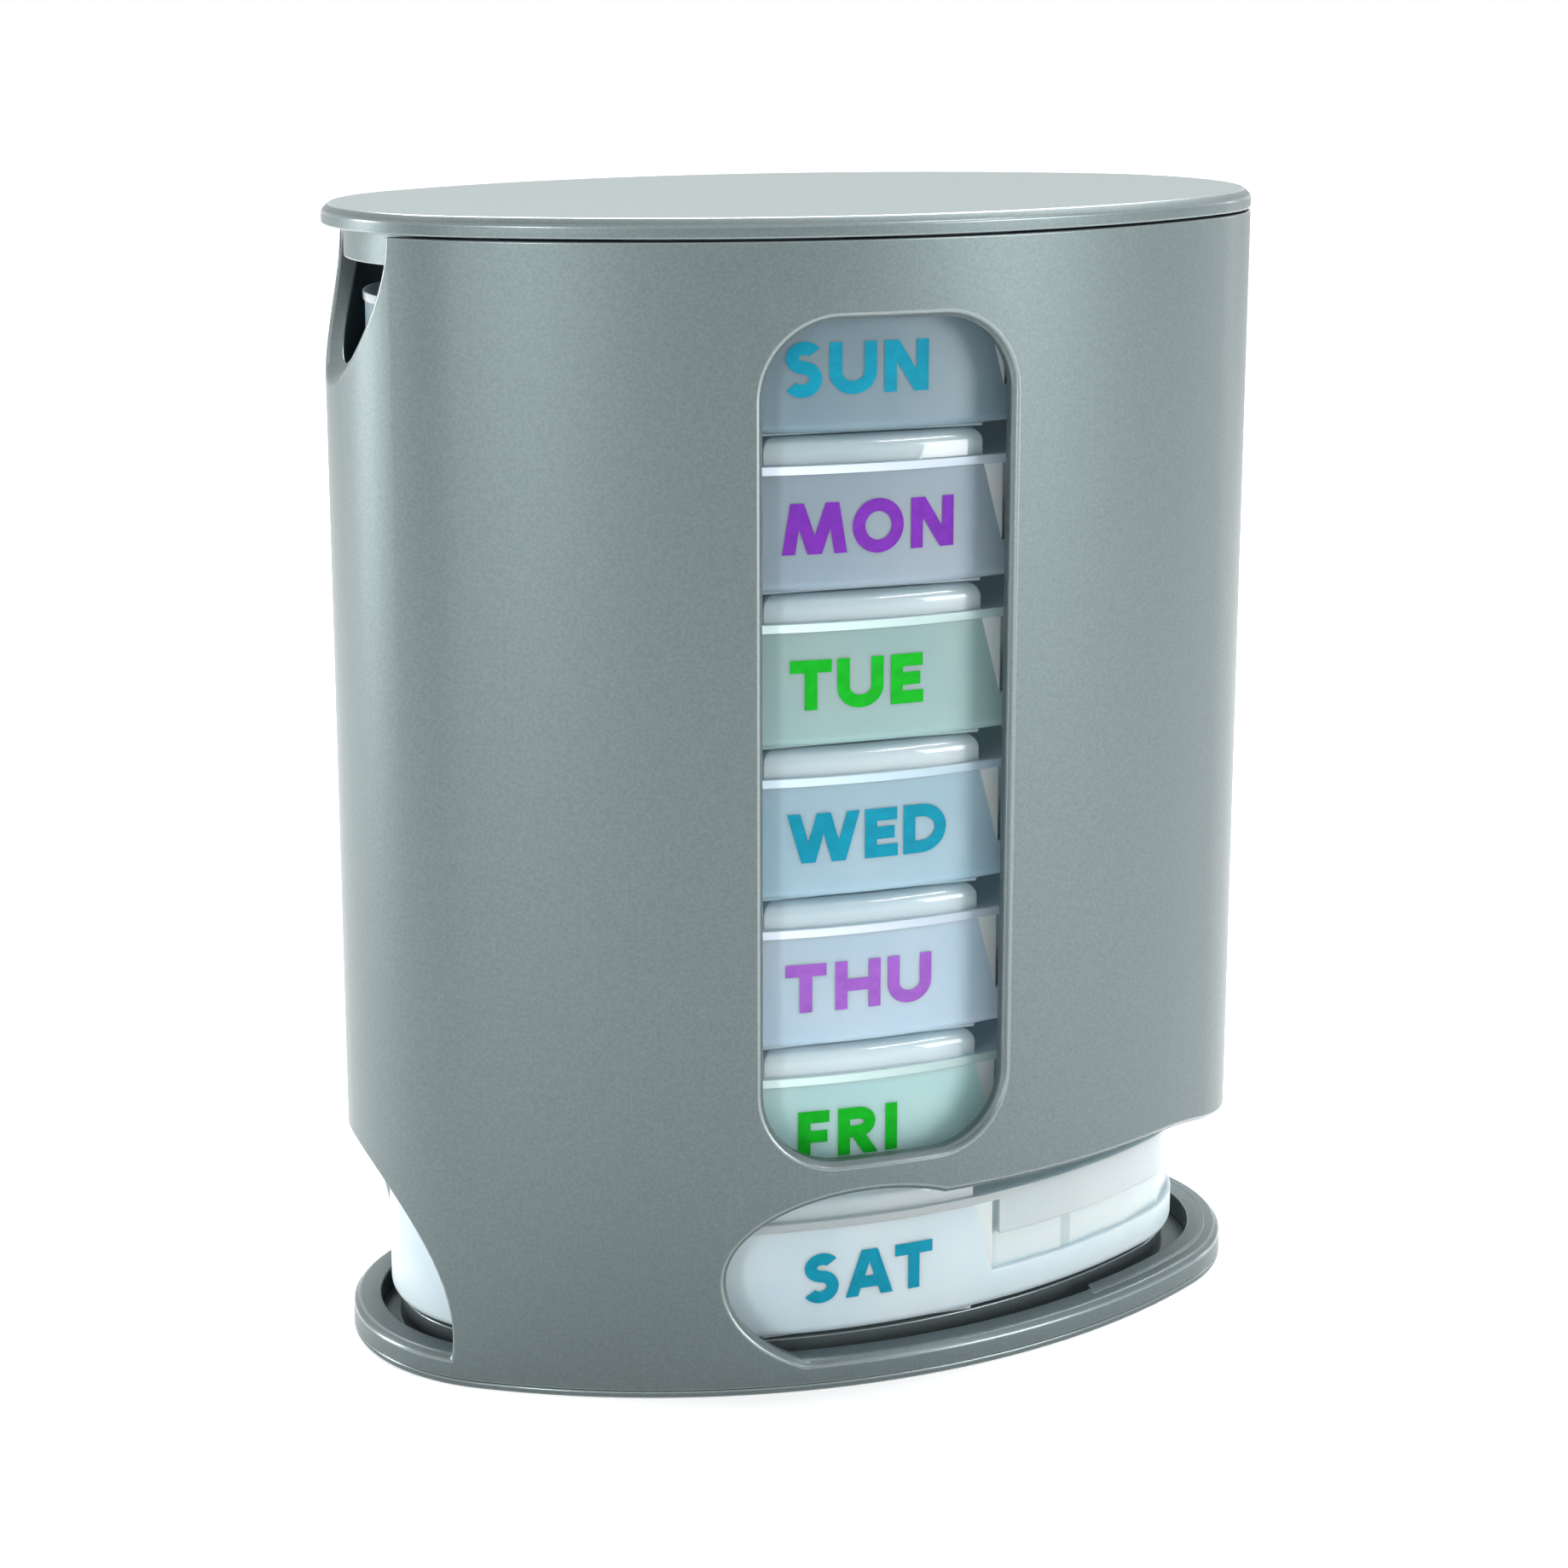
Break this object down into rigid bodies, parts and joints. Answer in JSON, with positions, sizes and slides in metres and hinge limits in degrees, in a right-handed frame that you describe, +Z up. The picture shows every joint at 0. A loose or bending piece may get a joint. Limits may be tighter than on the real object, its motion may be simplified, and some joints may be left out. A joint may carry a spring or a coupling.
{
  "type": "weekly pill box",
  "caption": "Oval tower case with a hinged top lid, a front window and a side outlet, holding a stack of lidded day trays with four compartments each.",
  "frame": {"origin": "centre of the case's foot, on the surface it stands on", "axes": "+Z up, +X along the long side towards the outlet, -Y towards the front with the window"},
  "size_m": [0.1324, 0.0762, 0.16],
  "materials": {
    "case": "satin metallic grey",
    "top_lid": "satin light grey",
    "tray": "frosted translucent",
    "tray_lid": "clear",
    "steel": "plain"
  },
  "bodies": {
    "case": {"housing": "case", "base_plate": "case", "top_lid_hinge_pin": "steel", "tray_friday": "tray", "tray_friday_lid": "tray_lid", "tray_friday_hinge_pin": "steel", "tray_thursday": "tray", "tray_thursday_lid": "tray_lid", "tray_thursday_hinge_pin": "steel", "tray_wednesday": "tray", "tray_wednesday_lid": "tray_lid", "tray_wednesday_hinge_pin": "steel", "tray_tuesday": "tray", "tray_tuesday_lid": "tray_lid", "tray_tuesday_hinge_pin": "steel", "tray_monday": "tray", "tray_monday_lid": "tray_lid", "tray_monday_hinge_pin": "steel", "tray_sunday": "tray", "tray_sunday_lid": "tray_lid", "tray_sunday_hinge_pin": "steel"},
    "lid": {"top_lid": "top_lid"},
    "saturday_tray": {"tray_saturday": "tray", "tray_saturday_lid": "tray_lid", "tray_saturday_hinge_pin": "steel"}
  },
  "joints": [
    {"name": "top_lid_hinge", "type": "hinge", "parent": "case", "child": "lid", "pos_m": [0.06378, 0, 0.1556], "axis": [0, 1, 0], "range_deg": [0, 95]},
    {"name": "saturday_tray_slide", "type": "slide", "parent": "case", "child": "saturday_tray", "axis": [1, 0, 0], "range_m": [0, 0.135]}
  ]
}
